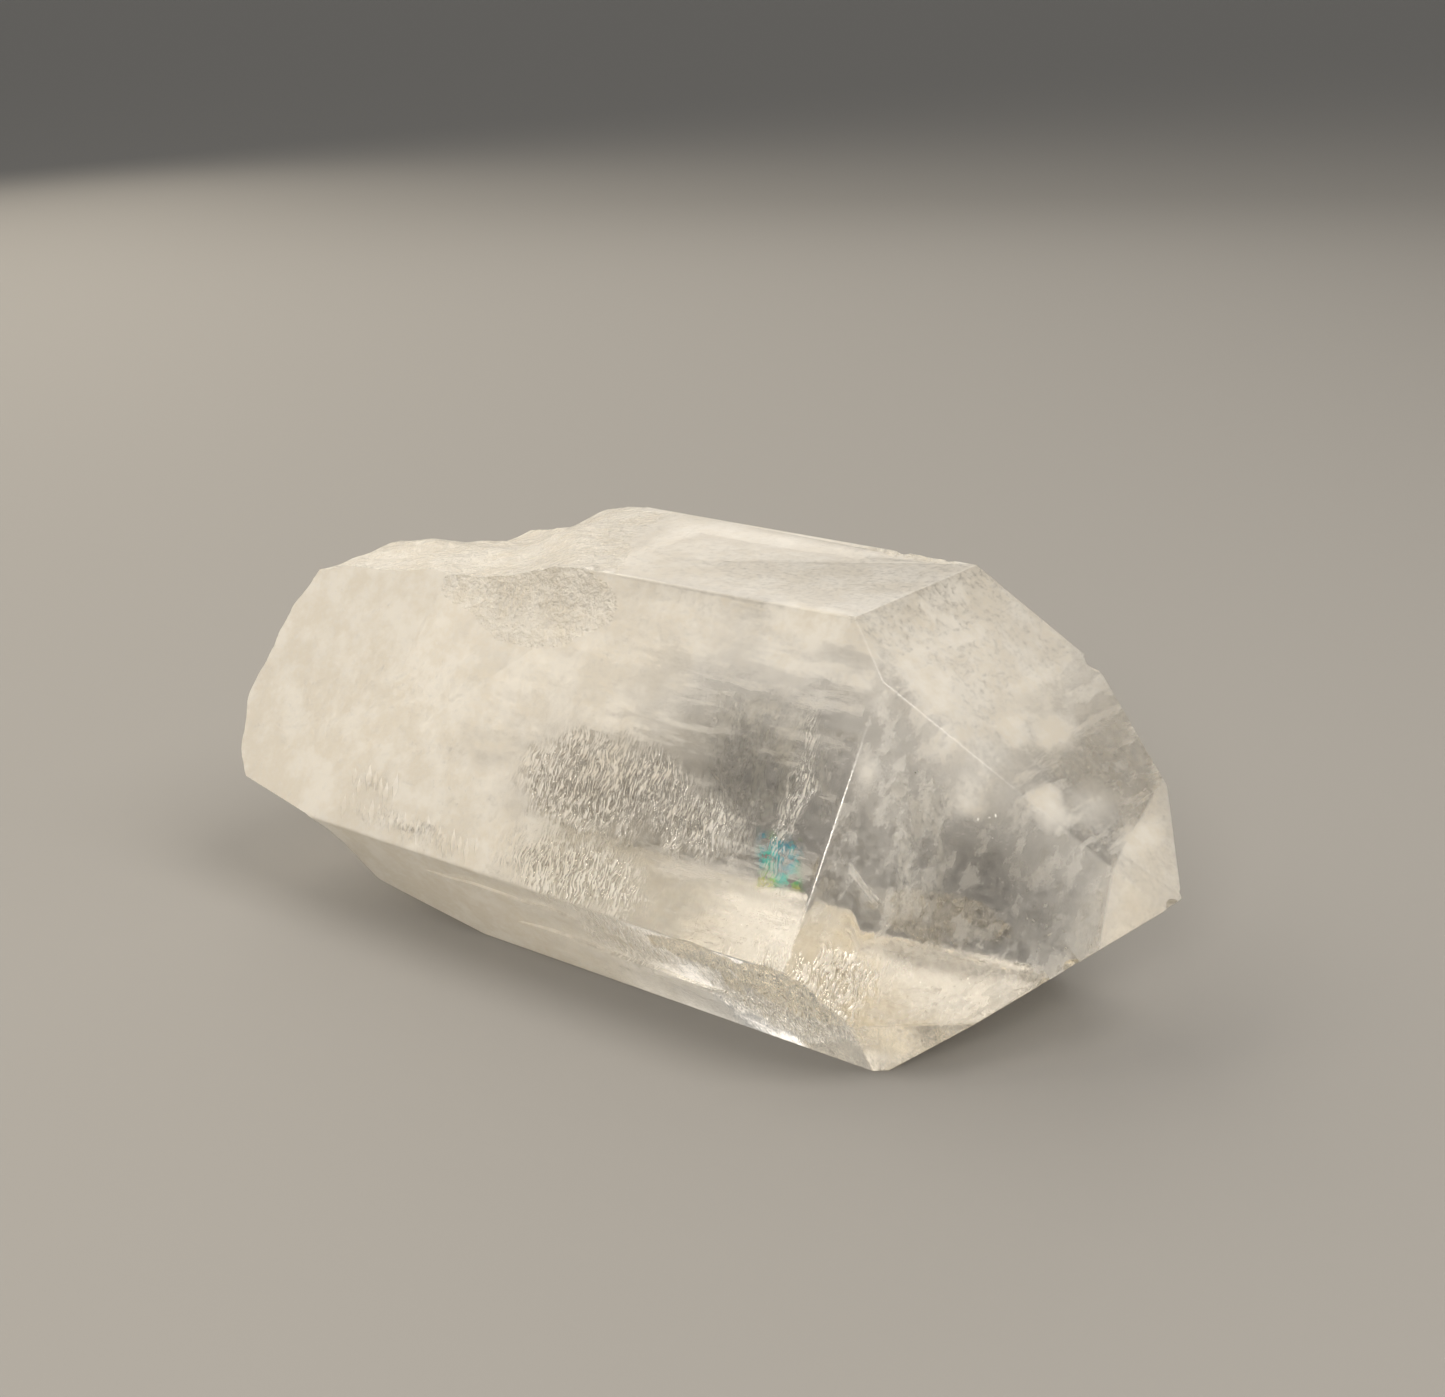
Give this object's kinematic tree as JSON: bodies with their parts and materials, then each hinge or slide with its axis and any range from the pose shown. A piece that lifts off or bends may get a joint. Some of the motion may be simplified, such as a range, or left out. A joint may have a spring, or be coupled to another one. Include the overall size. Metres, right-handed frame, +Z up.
{
  "type": "quartz crystal point",
  "caption": "Clear quartz crystal lying on one long face: a broken, milky root and a six-faced point at the other end.",
  "frame": {"origin": "on the surface that the crystal rests on, under the middle of its length and width", "axes": "+X along the crystal towards its point, +Z up, away from the face it rests on"},
  "size_m": [0.1114, 0.051, 0.0428],
  "materials": {
    "clear_quartz": "clear quartz, milky towards the root, with glassy growth faces and rough broken stone"
  },
  "bodies": {
    "root": {"quartz_crystal": "clear_quartz"}
  },
  "joints": []
}
